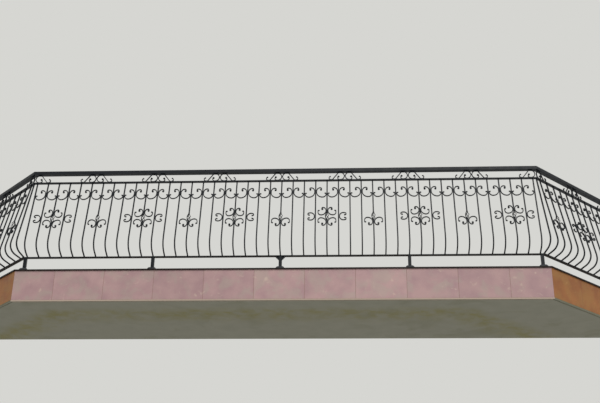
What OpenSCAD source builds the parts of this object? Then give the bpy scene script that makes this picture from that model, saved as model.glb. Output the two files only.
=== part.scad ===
// A bay-shaped balcony: a tiled concrete slab with a forged railing of bellied balusters and scroll work.
// X runs along the house wall, Y goes into the wall and Z is up.
// The origin is the middle of the slab's flat back face, which meets the wall.

/* [Layout] */
// Distance from one baluster's middle to the next
pitch = 112.5; // [106:0.5:125]
// Spaces between balusters in one bay of the front
bay_spaces = 11; // [7:2:13]
// Spaces between balusters along each side
side_spaces = 14; // [10:2:20]
// From a railing corner to the front's nearest baluster, middle to middle
corner_gap = 35; // [24:1:60]
// From the last side baluster's middle to the wall, along the side
wall_gap = 35; // [28:1:60]
// Angle by which each side runs back from the line of the front
side_angle = 45; // [35:1:60]

/* [Slab] */
// Full height of the slab's edge, floor tiles and soffit plaster included
slab_h = 320; // [250:1:400]
// How far the railing stands in from the edge of the slab
rail_inset = 90; // [70:1:140]
// Thickness of the floor tiles with their bed
deck_t = 12; // [10:1:25]
// Thickness of the plaster under the slab
soffit_t = 15; // [10:1:25]
// From the slab's edge to the drip groove under it
groove_in = 12; // [8:1:30]
// Width of the drip groove
groove_w = 12; // [8:1:20]
// Depth of the drip groove
groove_d = 7; // [4:1:9]
// Thickness of the tiles with their bed on the slab's edge
fascia_t = 15; // [10:1:25]

/* [Drip edge] */
// How far the metal drip edge stands out from the fascia
drip_out = 10; // [6:1:16]
// How far the drip edge's lip hangs down past the floor tiles
drip_drop = 3; // [1:1:25]
// Thickness of the drip edge's lip
drip_t = 3; // [2:0.5:5]
// Width of the flange that lies under the floor tiles, inwards from the fascia's face
flange_w = 60; // [30:1:65]
// Thickness of that flange
flange_t = 2; // [1:0.5:4]

/* [Rails] */
// Height of the handrail's top above the floor
handrail_z = 1086; // [950:1:1200]
// Width of the handrail
handrail_w = 50; // [40:1:60]
// Height of the handrail's section
handrail_h = 36; // [20:1:45]
// Radius of the handrail's two upper edges
handrail_r = 8; // [3:0.5:12]
// Clear height of the frieze between the upper rail and the handrail
frieze_h = 85; // [72:1:110]
// Clear height between the floor and the bottom rail
foot_h = 150; // [90:1:200]
// Width of the upper and bottom rails
rail_w = 34; // [32:1:42]
// Thickness of the upper and bottom rails
rail_t = 10; // [6:0.5:14]

/* [Balusters] */
// Side of the square baluster bar
bar = 12; // [10:0.5:13]
// How far the belly stands out from the line of the rails
belly_out = 132; // [110:1:150]
// Radius of the tight lower bend of the belly
belly_r = 102; // [80:1:120]
// Radius of the long upper bend of the belly
shoulder_r = 200; // [120:10:400]
// Angle below level at which the baluster's foot meets the bottom rail
foot_deg = 22; // [22:1:45]

/* [Scroll work] */
// Thickness of the scroll bar, seen from the front
scroll_w = 8; // [6:0.5:9]
// Depth of the scroll bar, from front to back
scroll_d = 12; // [8:0.5:14]
// Radius of the ball at a scroll's large end
ball_r = 10.5; // [9:0.5:11.5]
// Radius of the ball at its small end
tip_ball_r = 7.5; // [7.5:0.25:8.5]
// Gap between the upper rail and the top of the scroll row
row_gap = 81; // [60:1:110]
// Straight stretch of a row scroll that is welded to its baluster
row_flat = 15; // [8:1:25]
// Radius of the small bend of a row scroll
row_small_r = 36; // [28:1:40]
// Straight stretch of a row scroll before its small end curls in
row_tip = 6; // [2:1:14]
// Radius of the large bend of a scroll in a rosette or fleur
motif_big_r = 47; // [40:1:52]
// Radius of the small bend of a scroll in a rosette or fleur
motif_small_r = 30; // [26:1:38]
// Straight stretch of such a scroll that is welded to its baluster
motif_flat = 6; // [4:1:16]
// Straight stretch of such a scroll before its small end curls in
motif_tip = 17; // [8:1:24]
// Clear gap between a rosette's upper and lower scrolls
motif_gap = 26; // [16:1:40]
// Height of the rosettes' middle above the floor
motif_z = 533; // [520:1:580]
// Radius of the C scrolls beside a rosette
side_c_r = 38; // [30:1:42]
// Straight stretch of a C scroll that is welded to its baluster
side_c_flat = 10; // [6:1:20]
// Straight arm of a C scroll before its curls
side_c_arm = 6; // [0:1:14]
// Length of the twisted basket in the middle of a rosette or above a fleur
basket_len = 96; // [80:1:110]
// Radius over the basket's rods where it is widest
basket_r = 22; // [18:0.5:24]
// Thickness of the collars that hold the basket's rods together, beyond the bar's own faces
collar_t = 1; // [0.5:0.25:2]
// Length of each collar
collar_len = 7; // [5:0.5:10]
// Radius of the bend from a frieze scroll's arch into its sloping stem
crown_r = 24; // [18:1:30]
// Slope of that stem
stem_deg = 52; // [46:1:60]
// Radius of the bend at the foot of that stem
stem_r = 14; // [10:1:18]
// Flat stretch where a frieze scroll is welded to a rail
frieze_flat = 8; // [4:1:12]
// Gap between the two scrolls of a frieze motif
frieze_gap = 2; // [1:0.5:10]
// From a railing corner to the middle of the frieze motif there
frieze_corner = 5; // [3:1:40]

/* [Legs and wall straps] */
// Side of the square legs
leg_w = 30; // [25:1:40]
// From a railing corner to the middle of the leg that stands beside it under the front
leg_in = 18; // [15:1:45]
// Side of a leg's base plate
base_w = 80; // [60:1:100]
// Thickness of a leg's base plate
base_t = 8; // [5:1:12]
// Length of the two gussets under the bottom rail at the middle leg
gusset = 38; // [25:1:50]
// Thickness of those gussets
gusset_t = 8; // [5:1:12]
// How far the strap that holds the rails to the wall runs on past the handrail's end, to each side
strap_side = 12.5; // [8:0.5:25]
// Thickness of that strap
strap_t = 8; // [5:1:12]
// How far the strap runs on above the handrail and below the bottom rail
strap_over = 45; // [35:1:60]
// Diameter of the strap's two anchor holes
anchor_d = 13; // [9:0.5:17]
// From a strap's end to the middle of its anchor hole
anchor_in = 22; // [18:1:28]

/* [Hidden] */

// Colours, as the paint, tiles and plaster look in daylight
IRON = [0.10, 0.12, 0.15];
PLASTER = [0.62, 0.61, 0.57];
CONCRETE = [0.55, 0.54, 0.51];
DECK_TILE = [0.60, 0.52, 0.46];
FRONT_TILE = [0.72, 0.56, 0.52];
SIDE_TILE = [0.72, 0.43, 0.25];
DRIP_METAL = [0.16, 0.13, 0.12];

// Bays of the front, each with its own node of balusters, and a leg between each two
bays = 4;
// One motif in every so many spaces, a rosette and a fleur in turn
motif_step = 4;
// Spaces before the first motif of the front and of a side, and left free at a side's end by the wall
front_first = 2;
side_first = 1;
side_free = 2;
// The first side baluster stands half a space from the corner
side_gap = pitch / 2;
// Frieze motifs divide the front evenly, two to a bay, and a side's last one keeps this far from the wall
bay_motifs = 2;
frieze_clear = 1.5 * pitch;
// How far a drawn bend's flat stretches may depart from the true curve
sag = 0.8;

// How a forged scroll winds, as turns in degrees and as parts of its large bend's radius
neck_turn = 35;
neck_part = 0.9;
crown_part = 0.55;
eye_turn = 150;
eye_part = [0.26, 0.2];
// How its small end curls in, as parts of the bar's thickness
tip_turn = 120;
tip_part = [0.8, 0.65];
// The C scroll: turns, and the radii at which its curls start and end
side_c_turn = 104;
side_c_eye = [14, 10];
// The frieze scroll: how the arch's eye winds, in parts of the arch's radius, and the curl at the stem's foot
arch_eye_turn = 155;
arch_eye_part = [0.57, 0.34];
stem_tip_turn = 165;
stem_tip = [20, 14];
// The basket: four square rods, how far they twist on their way up, and the steps that draw them
rods = 4;
rod = bar / 2;
rod_twist = 210;
rod_steps = 8;
// How pointed the basket is at its ends
basket_point = 1.4;
// Flat strips that draw each rounded edge of the handrail
edge_bits = 3;

// Levels, from the middle of the slab's back face
deck_z = slab_h / 2;
slab_bottom = -slab_h / 2;
core_top = deck_z - deck_t;
core_bottom = slab_bottom + soffit_t;
lip_bottom = core_top - drip_drop;
// Levels above the floor
bottom_rail_top = foot_h + rail_t;
frieze_top = handrail_z - handrail_h;
upper_rail_top = frieze_top - frieze_h;
bar_top = upper_rail_top - rail_t;

// Plan of the railing and of the slab
front_spaces = bays * bay_spaces;
front_rail_len = 2 * corner_gap + front_spaces * pitch;
side_rail_len = side_gap + side_spaces * pitch + wall_gap;
depth = rail_inset + side_rail_len * sin(side_angle);
half_front = front_rail_len / 2 + rail_inset * tan(side_angle / 2);
frieze_step = (front_rail_len - 2 * frieze_corner) / (bays * bay_motifs);

// Balusters that carry a motif. The front starts with a rosette and each side, by the corner, with a fleur.
motif_pair = 2 * motif_step;
front_last = front_spaces - front_first;
side_last = side_spaces - side_free;
front_motifs = [front_first : motif_step : front_last];
front_rosettes = [front_first : motif_pair : front_last];
front_fleurs = [front_first + motif_step : motif_pair : front_last];
side_motifs = [side_first : motif_step : side_last];
side_rosettes = [side_first + motif_step : motif_pair : side_last];
side_fleurs = [side_first : motif_pair : side_last];

// The baluster: how steeply it leans, and the height of its belly
belly_in = belly_out - belly_r + belly_r * sin(foot_deg);
belly_z = bottom_rail_top + belly_r * cos(foot_deg) + belly_in * tan(foot_deg);
lean_rise = bar_top - belly_z;
lean = asin(shoulder_r / norm([lean_rise, shoulder_r - belly_out]))
    - atan2(shoulder_r - belly_out, lean_rise);
shoulder_y = -(belly_out - shoulder_r * (1 - cos(lean)));
shoulder_z = belly_z + shoulder_r * sin(lean);

// Corner of the plan at a distance in from the slab's edge, and where that line reaches a wall depth
function corner(inset) = [half_front - inset * tan(side_angle / 2), -depth + inset];
function at_wall(inset, back) =
    [half_front + (depth - back) / tan(side_angle) - inset / sin(side_angle), -back];
function across(p) = [-p[0], p[1]];

// A drawn path is a list of [x, y, heading]. A move is [turn, length or first radius, last radius].
function sag_turn(r) = 2 * acos(1 - sag / r);
function bits(move) = move[0] == 0 ? 1 : ceil(abs(move[0]) / sag_turn((move[1] + move[2]) / 2));
function chord(move, i) =
    move[0] == 0 ? move[1]
    : 2 * (move[1] + (move[2] - move[1]) * (i + 0.5) / bits(move)) * sin(abs(move[0]) / bits(move) / 2);
function short_moves(moves) =
    [for (m = moves) for (i = [0 : bits(m) - 1]) [m[0] / bits(m), chord(m, i)]];
function go(at, m) =
    [at[0] + m[1] * cos(at[2] + m[0] / 2), at[1] + m[1] * sin(at[2] + m[0] / 2), at[2] + m[0]];
function follow(start, moves) =
    [for (i = 0, at = start; i <= len(moves); at = i < len(moves) ? go(at, moves[i]) : at, i = i + 1) at];
function path(start, moves) = follow(start, short_moves(moves));
function turned(p) = [for (i = [len(p) - 1 : -1 : 0]) [p[i][0], p[i][1], p[i][2] + 180]];
// A path drawn both ways from one point, which it passes at that heading
function both_ways(start, behind, ahead) =
    let (tail = path([start[0], start[1], start[2] + 180], behind), nose = path(start, ahead))
    concat(turned(tail), [for (i = [1 : len(nose) - 1]) nose[i]]);
function beside(at, gap) = [at[0] - gap * sin(at[2]), at[1] + gap * cos(at[2])];
// The outline of a bar of that width along a path
function ribbon(p, width) = concat(
    [for (at = p) beside(at, width / 2)],
    [for (i = [len(p) - 1 : -1 : 0]) beside(p[i], -width / 2)]);

// A strip of the plan between two distances in from the slab's edge, mitred at the corners
module front_strip(outer, inner) {
    polygon([corner(outer), corner(inner), across(corner(inner)), across(corner(outer))]);
}
module side_strip(outer, inner, back = 0) {
    polygon([corner(outer), corner(inner), at_wall(inner, back), at_wall(outer, back)]);
}
module plan(inset) {
    polygon([corner(inset), at_wall(inset, 0), across(at_wall(inset, 0)), across(corner(inset))]);
}
module layer(bottom, top) {
    translate([0, 0, bottom]) linear_extrude(top - bottom) children();
}
module left() {
    mirror([1, 0, 0]) children();
}

// A run's own frame: X along the rail from the corner, -Y out of the balcony, Z up from the floor
module front_run() {
    translate([-front_rail_len / 2, -depth + rail_inset, deck_z]) children();
}
module side_run() {
    translate([front_rail_len / 2, -depth + rail_inset, deck_z]) rotate([0, 0, side_angle]) children();
}
// The same frames, with X from the run's first baluster
module front_bars() {
    front_run() translate([corner_gap, 0, 0]) children();
}
module side_bars() {
    side_run() translate([side_gap, 0, 0]) children();
}
// The leaning plane of the balusters: X along the rail, Y up the bars, from their top ends
module bar_plane() {
    translate([0, 0, bar_top]) rotate([90 - lean, 0, 0]) children();
}
module frieze_plane() {
    translate([0, 0, upper_rail_top]) rotate([90, 0, 0]) children();
}
function down_bars(z) = -(bar_top - z) / cos(lean);

// Slab and its finishes

module slab() {
    color(CONCRETE) layer(core_bottom, core_top) plan(fascia_t);
}

module soffit() {
    color(PLASTER) difference() {
        layer(slab_bottom, core_bottom) plan(0);
        layer(slab_bottom - groove_d, slab_bottom + groove_d) {
            front_strip(groove_in, groove_in + groove_w);
            side_strip(groove_in, groove_in + groove_w, -groove_w);
            left() side_strip(groove_in, groove_in + groove_w, -groove_w);
        }
    }
}

module deck() {
    color(DECK_TILE) {
        layer(core_top, deck_z) plan(flange_w);
        layer(core_top + flange_t, deck_z) plan(drip_t - drip_out);
    }
}

module fascia_front() {
    color(FRONT_TILE) layer(core_bottom, core_top) front_strip(0, fascia_t);
}

module fascia_side() {
    color(SIDE_TILE) layer(core_bottom, core_top) side_strip(0, fascia_t);
}

module drip_edge_front() {
    color(DRIP_METAL) {
        layer(core_top, core_top + flange_t) front_strip(-drip_out, flange_w);
        layer(lip_bottom, deck_z) front_strip(-drip_out, drip_t - drip_out);
    }
}

module drip_edge_side() {
    color(DRIP_METAL) {
        layer(core_top, core_top + flange_t) side_strip(-drip_out, flange_w);
        layer(lip_bottom, deck_z) side_strip(-drip_out, drip_t - drip_out);
    }
}

// Rails

function rounded_top(w, h, r) = concat(
    [[w / 2, 0]],
    [for (i = [0 : edge_bits]) let (a = 90 * i / edge_bits) [w / 2 - r + r * cos(a), h - r + r * sin(a)]],
    [for (i = [0 : edge_bits]) let (a = 90 * i / edge_bits) [r - w / 2 - r * sin(a), h - r + r * cos(a)]],
    [[-w / 2, 0]]);

// The handrail's section drawn along a run that is long enough to be mitred at both ends
module handrail_bar(run) {
    over = handrail_w * 2;
    translate([-over, 0, frieze_top]) rotate([90, 0, 90])
        linear_extrude(run + 2 * over) polygon(rounded_top(handrail_w, handrail_h, handrail_r));
}

module handrail_front() {
    color(IRON) intersection() {
        front_run() handrail_bar(front_rail_len);
        layer(deck_z, deck_z + handrail_z + handrail_h)
            front_strip(rail_inset - handrail_w, rail_inset + handrail_w);
    }
}

module handrail_side() {
    color(IRON) intersection() {
        side_run() handrail_bar(side_rail_len);
        layer(deck_z, deck_z + handrail_z + handrail_h)
            side_strip(rail_inset - handrail_w, rail_inset + handrail_w, strap_t);
    }
}

module flat_rail_front(top) {
    color(IRON) layer(deck_z + top - rail_t, deck_z + top)
        front_strip(rail_inset - rail_w / 2, rail_inset + rail_w / 2);
}

module flat_rail_side(top) {
    color(IRON) layer(deck_z + top - rail_t, deck_z + top)
        side_strip(rail_inset - rail_w / 2, rail_inset + rail_w / 2, strap_t);
}

// Legs and wall straps

module leg() {
    color(IRON) {
        translate([-base_w / 2, -base_w / 2, 0]) cube([base_w, base_w, base_t]);
        translate([-leg_w / 2, -leg_w / 2, 0]) cube([leg_w, leg_w, foot_h]);
    }
}

module front_leg(space) {
    front_bars() translate([space * pitch, 0, 0]) leg();
}

// The middle leg also carries the joint of the bottom rail, on two gussets
module middle_leg() {
    front_leg(front_spaces / 2);
    color(IRON) front_bars() for (side = [0, 1]) translate([front_spaces / 2 * pitch, 0, 0])
        mirror([side, 0, 0]) translate([leg_w / 2, gusset_t / 2, foot_h]) rotate([90, 0, 0])
            linear_extrude(gusset_t) polygon([[0, 0], [gusset, 0], [0, -gusset]]);
}

module corner_leg() {
    front_run() translate([front_rail_len - leg_in, 0, 0]) leg();
}

module wall_strap() {
    strap_w = handrail_w / sin(side_angle) + 2 * strap_side;
    low = bottom_rail_top - rail_t - strap_over;
    high = handrail_z + strap_over;
    middle = at_wall(rail_inset, strap_t / 2);
    color(IRON) translate([middle[0], 0, deck_z]) difference() {
        translate([-strap_w / 2, -strap_t, low]) cube([strap_w, strap_t, high - low]);
        for (z = [low + anchor_in, high - anchor_in])
            translate([0, strap_t, z]) rotate([90, 0, 0]) cylinder(d = anchor_d, h = 3 * strap_t, $fn = 48);
    }
}

// Balusters: straight and leaning at the top, then the shoulder, the belly and the foot. One that carries
// a rosette or a fleur is cut for its basket.

function foot_len() = belly_in / cos(foot_deg);
function baluster_path() = path([0, bar_top, -90 - lean], [
    [0, norm([shoulder_y, bar_top - shoulder_z]), 0],
    [lean, shoulder_r, shoulder_r],
    [90 - foot_deg, belly_r, belly_r],
    [0, foot_len(), 0]
]);
// A point of the outline moved along the bar until it is at that level
function slid_to(p, heading, level) = p + (level - p[1]) / sin(heading) * [cos(heading), sin(heading)];
function baluster_outline() =
    let (p = baluster_path(), last = len(p) - 1)
    concat(
        [slid_to(beside(p[0], bar / 2), p[0][2], bar_top)],
        [for (i = [1 : last - 1]) beside(p[i], bar / 2)],
        [slid_to(beside(p[last], bar / 2), p[last][2], bottom_rail_top)],
        [slid_to(beside(p[last], -bar / 2), p[last][2], bottom_rail_top)],
        [for (i = [last - 1 : -1 : 1]) beside(p[i], -bar / 2)],
        [slid_to(beside(p[0], -bar / 2), p[0][2], bar_top)]);

module baluster() {
    translate([-bar / 2, 0, 0]) rotate([90, 0, 90]) linear_extrude(bar) polygon(baluster_outline());
}
function is_in(i, places) = len([for (p = places) if (p == i) p]) > 0;
module balusters(first, last, carriers) {
    color(IRON) for (i = [first : last]) translate([i * pitch, 0, 0]) difference() {
        baluster();
        if (is_in(i, carriers)) bar_plane() translate([0, down_bars(motif_z), 0])
            cube([2 * bar, basket_len, 2 * bar], center = true);
    }
}
module front_balusters(first, last) {
    front_bars() balusters(first, last, front_motifs);
}
// A side's balusters, and the one at its corner, which bellies out half-way between both runs
module side_balusters() {
    side_bars() balusters(0, side_spaces, side_motifs);
    color(IRON) side_run() rotate([0, 0, -side_angle / 2]) baluster();
}

// Scroll work

module forged(p) {
    linear_extrude(scroll_d, center = true) polygon(ribbon(p, scroll_w));
}

// A ball forged on the end of a bar. Its seam points away from the bar.
module ball(at, away, r) {
    translate([at[0], at[1], 0]) rotate([0, 0, at[2] + away]) sphere(r = r, $fn = 24);
}
module first_ball(p, r) {
    ball(p[0], 180, r);
}
module last_ball(p, r) {
    ball(p[len(p) - 1], 0, r);
}

// A scroll that stands beside a bar: its large end is at the bar, and its lowest point at level 0
function scroll_rise(big_r, flat) =
    big_r + flat + neck_part * big_r * sin(neck_turn) + crown_part * big_r * (1 - sin(neck_turn));
module scroll(big_r, small_r, flat, tip) {
    p = both_ways([bar / 2 + scroll_w / 2 + big_r, 0, 0],
        [
            [-90, big_r, big_r],
            [0, flat, 0],
            [-neck_turn, neck_part * big_r, neck_part * big_r],
            [neck_turn - 90, crown_part * big_r, crown_part * big_r],
            [-eye_turn, eye_part[0] * big_r, eye_part[1] * big_r]
        ],
        [
            [90, small_r, small_r],
            [0, tip, 0],
            [tip_turn, tip_part[0] * scroll_w, tip_part[1] * scroll_w]
        ]);
    forged(p);
    first_ball(p, ball_r);
    last_ball(p, tip_ball_r);
}

module scroll_row(spaces) {
    big_r = pitch - bar - scroll_w - row_small_r;
    level = -row_gap - scroll_w / 2 - scroll_rise(big_r, row_flat);
    // the large ends of two neighbours share every other baluster
    color(IRON) bar_plane() for (i = [1 : 2 : spaces - 1], side = [0, 1])
        translate([i * pitch, level, 0]) mirror([side, 0, 0]) scroll(big_r, row_small_r, row_flat, row_tip);
}

// Two scrolls that hang below a level, one on each side of a baluster, with their bends up
module scroll_pair() {
    for (side = [0, 1]) mirror([side, 0, 0]) mirror([0, 1, 0])
        translate([0, motif_gap / 2 + scroll_w / 2, 0])
            scroll(motif_big_r, motif_small_r, motif_flat, motif_tip);
}

// A scroll like a letter C, with its back on the baluster at X = 0
module side_c() {
    half = [
        [0, side_c_flat / 2, 0],
        [side_c_turn, side_c_r, side_c_r],
        [0, side_c_arm, 0],
        [180, side_c_eye[0], side_c_eye[1]]
    ];
    p = both_ways([bar / 2 + scroll_w / 2, 0, -90], [for (m = half) [-m[0], m[1], m[2]]], half);
    forged(p);
    first_ball(p, tip_ball_r);
    last_ball(p, tip_ball_r);
}

// A basket's rods start as the bar's four quarters, twist and bulge out, and close again
rod_half_diagonal = rod / sqrt(2);
rod_from_axis = rod_half_diagonal + collar_t / 2;
function rod_turn(i, k) = 360 * k / rods + rod_twist * i / rod_steps;
function rod_reach(i) = rod_from_axis
    + (basket_r - rod_half_diagonal - rod_from_axis) * pow(sin(180 * i / rod_steps), basket_point);
function rod_ring(i, k) = [for (c = [0 : 3]) let (a = rod_turn(i, k)) [
    rod_reach(i) * cos(a) + rod_half_diagonal * cos(a + 90 * c),
    rod_reach(i) * sin(a) + rod_half_diagonal * sin(a + 90 * c),
    basket_len * i / rod_steps]];
module basket_rod(k) {
    polyhedron(
        points = [for (i = [0 : rod_steps]) each rod_ring(i, k)],
        faces = concat(
            [[0, 1, 2, 3]],
            [for (i = [0 : rod_steps - 1], c = [0 : 3]) let (a = 4 * i + c, b = 4 * i + (c + 1) % 4)
                each [[a, a + 4, b + 4], [a, b + 4, b]]],
            [let (a = 4 * rod_steps) [a + 3, a + 2, a + 1, a]]));
}

module basket() {
    rotate([-90, 0, 0]) translate([0, 0, -basket_len / 2]) rotate([0, 0, 45]) {
        for (k = [0 : rods - 1]) basket_rod(k);
        for (z = [0, basket_len - collar_len]) rotate([0, 0, 45])
            translate([-bar / 2 - collar_t, -bar / 2 - collar_t, z])
                cube([bar + 2 * collar_t, bar + 2 * collar_t, collar_len]);
    }
}

module rosette() {
    scroll_pair();
    mirror([0, 1, 0]) scroll_pair();
    translate([pitch, 0, 0]) side_c();
    translate([-pitch, 0, 0]) mirror([1, 0, 0]) side_c();
}

module fleur() {
    scroll_pair();
}

// Copies on those balusters, at the height of the motifs' middles
module motifs(places) {
    color(IRON) bar_plane() for (i = places) translate([i * pitch, down_bars(motif_z), 0]) children();
}

// Frieze scrolls: an arch from rail to rail that winds in to an eye, a stem that slopes away, and a small
// curl at its foot

arch_r = (frieze_h - scroll_w) / 2;
stem_len = (frieze_h - scroll_w - (crown_r + stem_r) * (1 - cos(stem_deg))) / sin(stem_deg);

module frieze_scroll() {
    p = both_ways([frieze_gap / 2 + scroll_w / 2 + arch_r + frieze_flat / 2, frieze_h - scroll_w / 2, 0],
        [
            [0, frieze_flat / 2, 0],
            [180, arch_r, arch_r],
            [0, frieze_flat, 0],
            [arch_eye_turn, arch_eye_part[0] * arch_r, arch_eye_part[1] * arch_r]
        ],
        [
            [0, frieze_flat / 2, 0],
            [-stem_deg, crown_r, crown_r],
            [0, stem_len, 0],
            [stem_deg, stem_r, stem_r],
            [0, frieze_flat, 0],
            [stem_tip_turn, stem_tip[0], stem_tip[1]]
        ]);
    forged(p);
    first_ball(p, ball_r);
    last_ball(p, tip_ball_r);
}
// The motif at a corner has half of it on each run
module frieze_motif(x, sides) {
    for (side = sides) translate([x, 0, 0]) mirror([side, 0, 0]) frieze_scroll();
}
module frieze_front() {
    last = bays * bay_motifs;
    color(IRON) front_run() frieze_plane() for (i = [0 : last])
        frieze_motif(frieze_corner + i * frieze_step, i == 0 ? [0] : i == last ? [1] : [0, 1]);
}
module frieze_side() {
    color(IRON) side_run() frieze_plane()
        for (x = [frieze_corner : frieze_step : side_rail_len - frieze_clear])
            frieze_motif(x, x == frieze_corner ? [0] : [0, 1]);
}

slab();
soffit();
deck();
fascia_front();
left() fascia_side();  // fascia_left
fascia_side();  // fascia_right
drip_edge_front();
left() drip_edge_side();  // drip_edge_left
drip_edge_side();  // drip_edge_right
handrail_front();
left() handrail_side();  // handrail_left
handrail_side();  // handrail_right
flat_rail_front(upper_rail_top);  // upper_rail_front
left() flat_rail_side(upper_rail_top);  // upper_rail_left
flat_rail_side(upper_rail_top);  // upper_rail_right
flat_rail_front(bottom_rail_top);  // bottom_rail_front
left() flat_rail_side(bottom_rail_top);  // bottom_rail_left
flat_rail_side(bottom_rail_top);  // bottom_rail_right
left() corner_leg();  // leg_corner_left
front_leg(bay_spaces);  // leg_front_left
middle_leg();  // leg_front_middle
front_leg(3 * bay_spaces);  // leg_front_right
corner_leg();  // leg_corner_right
left() wall_strap();  // wall_strap_left
wall_strap();  // wall_strap_right
front_balusters(0, bay_spaces - 1);  // balusters_front_1
front_balusters(bay_spaces, 2 * bay_spaces - 1);  // balusters_front_2
front_balusters(2 * bay_spaces, 3 * bay_spaces - 1);  // balusters_front_3
front_balusters(3 * bay_spaces, front_spaces);  // balusters_front_4
left() side_balusters();  // balusters_left
side_balusters();  // balusters_right
front_bars() scroll_row(front_spaces);  // scroll_row_front
left() side_bars() scroll_row(side_spaces);  // scroll_row_left
side_bars() scroll_row(side_spaces);  // scroll_row_right
front_bars() motifs(front_rosettes) rosette();  // rosettes_front
left() side_bars() motifs(side_rosettes) rosette();  // rosettes_left
side_bars() motifs(side_rosettes) rosette();  // rosettes_right
front_bars() motifs(front_fleurs) fleur();  // fleurs_front
left() side_bars() motifs(side_fleurs) fleur();  // fleurs_left
side_bars() motifs(side_fleurs) fleur();  // fleurs_right
front_bars() motifs(front_motifs) basket();  // baskets_front
left() side_bars() motifs(side_motifs) basket();  // baskets_left
side_bars() motifs(side_motifs) basket();  // baskets_right
frieze_front();
left() frieze_side();  // frieze_left
frieze_side();  // frieze_right
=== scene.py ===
import math
import random

import bmesh
import bpy
from mathutils import Matrix, Vector


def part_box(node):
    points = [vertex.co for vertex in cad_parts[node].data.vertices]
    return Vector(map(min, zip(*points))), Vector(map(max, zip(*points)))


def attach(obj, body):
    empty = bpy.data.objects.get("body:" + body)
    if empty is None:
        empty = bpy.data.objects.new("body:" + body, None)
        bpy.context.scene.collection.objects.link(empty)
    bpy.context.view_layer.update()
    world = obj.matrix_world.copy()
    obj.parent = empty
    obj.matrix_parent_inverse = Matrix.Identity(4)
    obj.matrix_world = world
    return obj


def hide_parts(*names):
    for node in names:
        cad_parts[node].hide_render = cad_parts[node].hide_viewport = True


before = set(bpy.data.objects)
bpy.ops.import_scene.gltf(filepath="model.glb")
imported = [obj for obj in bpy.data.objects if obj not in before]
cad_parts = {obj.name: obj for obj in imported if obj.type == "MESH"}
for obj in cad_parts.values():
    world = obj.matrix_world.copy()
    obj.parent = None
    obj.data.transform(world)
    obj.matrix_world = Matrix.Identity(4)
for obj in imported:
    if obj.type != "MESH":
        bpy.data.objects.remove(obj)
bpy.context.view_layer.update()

MM = 0.001

# Sizes of the forged work, as in the CAD. The railing's own lines are read from its nodes below.
PITCH = 112.5 * MM
FRONT_SPACES = 44
BAY_SPACES = 11
SIDE_SPACES = 14
SIDE_ANGLE = 45
SIDE_GAP = PITCH / 2
MOTIF_STEP = 4
MOTIF_Z = 533 * MM

BAR = 12 * MM
BELLY_OUT = 132 * MM
BELLY_R = 102 * MM
SHOULDER_R = 200 * MM
FOOT_DEG = 22

SCROLL_W = 8 * MM
SCROLL_D = 12 * MM
BALL_R = 10.5 * MM
TIP_BALL_R = 7.5 * MM
ROW_GAP = 81 * MM
ROW_FLAT = 15 * MM
ROW_SMALL_R = 36 * MM
ROW_TIP = 6 * MM
MOTIF_BIG_R = 47 * MM
MOTIF_SMALL_R = 30 * MM
MOTIF_FLAT = 6 * MM
MOTIF_TIP = 17 * MM
MOTIF_GAP = 26 * MM
SIDE_C_R = 38 * MM
SIDE_C_FLAT = 10 * MM
SIDE_C_ARM = 6 * MM
SIDE_C_EYE = (14 * MM, 10 * MM)
SIDE_C_TURN = 104

# How a scroll winds: turns in degrees, parts of its large bend's radius and, at its tip, of the bar
NECK_TURN = 35
NECK_PART = 0.9
CROWN_PART = 0.55
EYE_TURN = 150
EYE_PART = (0.26, 0.2)
TIP_TURN = 120
TIP_PART = (0.8, 0.65)

FRIEZE_FLAT = 8 * MM
FRIEZE_GAP = 2 * MM
FRIEZE_CORNER = 5 * MM
FRONT_FRIEZES = 9
SIDE_FRIEZES = 3
ARCH_EYE_TURN = 155
ARCH_EYE_PART = (0.57, 0.34)
CROWN_R = 24 * MM
STEM_DEG = 52
STEM_R = 14 * MM
STEM_TIP_TURN = 165
STEM_TIP = (20 * MM, 14 * MM)

BASKET_LEN = 96 * MM
BASKET_R = 22 * MM
BASKET_POINT = 1.4
COLLAR_T = 1 * MM
COLLAR_LEN = 7 * MM
RODS = 4
ROD_TWIST = 210

# A drawn bend is a chain of short arcs, each as long as one flat of the CAD's outline
SAG = 0.8 * MM
SPIN_DEG = 9
BASKET_STEPS = 28

# A bead of weld's three widths, and the faces of forged balls and of beads
BEAD = (3.2 * MM, 12 * MM, 2.4 * MM)
BALL_FACES = {"segments": 16, "ring_count": 10}
BEAD_FACES = {"segments": 8, "ring_count": 6}

# How far the edges are rounded or taken off
BAR_EDGE = 1.2 * MM
SCROLL_EDGE = 1.4 * MM
ROD_EDGE = 0.8 * MM
COLLAR_EDGE = 1.5 * MM
RAIL_EDGE = 1.5 * MM
LEG_EDGE = 1.2 * MM
STRAP_EDGE = 1 * MM
TILE_EDGE = 1 * MM
PLASTER_EDGE = 2.5 * MM
SHEET_EDGE = 0.5 * MM
COVER_EDGE = 5 * MM

# Mesh work: points this close are one, faces this flat are one, and directions this alike are the same
MERGE = 0.01 * MM
FLAT_DEG = 1
ALIGNED = 0.99

# Edges sharper than the first are rounded. Shading is smooth up to the second on forged work, and up to the
# third on pieces with rounded edges.
ROUND_DEG = 40
SMOOTH_DEG = 38
EVEN_DEG = 50

# The pressed covers over the legs' base plates: widths and heights of their profile, from the floor up
COVER = ((84 * MM, 0), (84 * MM, 20 * MM), (76 * MM, 32 * MM), (56 * MM, 42 * MM), (33 * MM, 47 * MM))
COVER_T = 1.5 * MM

# Facing and floor tiles, their joints, and how unevenly they are laid
FACE_TILE = 479 * MM
TILE_T = 9 * MM
TILE_BACK = 0.2 * MM
TILE_JOINT = 2 * MM
TILE_TONE = "tile_tone"
JOINT_DEPTH = 1.5 * MM
FLOOR_TILE = 300 * MM
TILE_PROUD = 0.5 * MM
TILE_SUNK = 0.4 * MM

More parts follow.
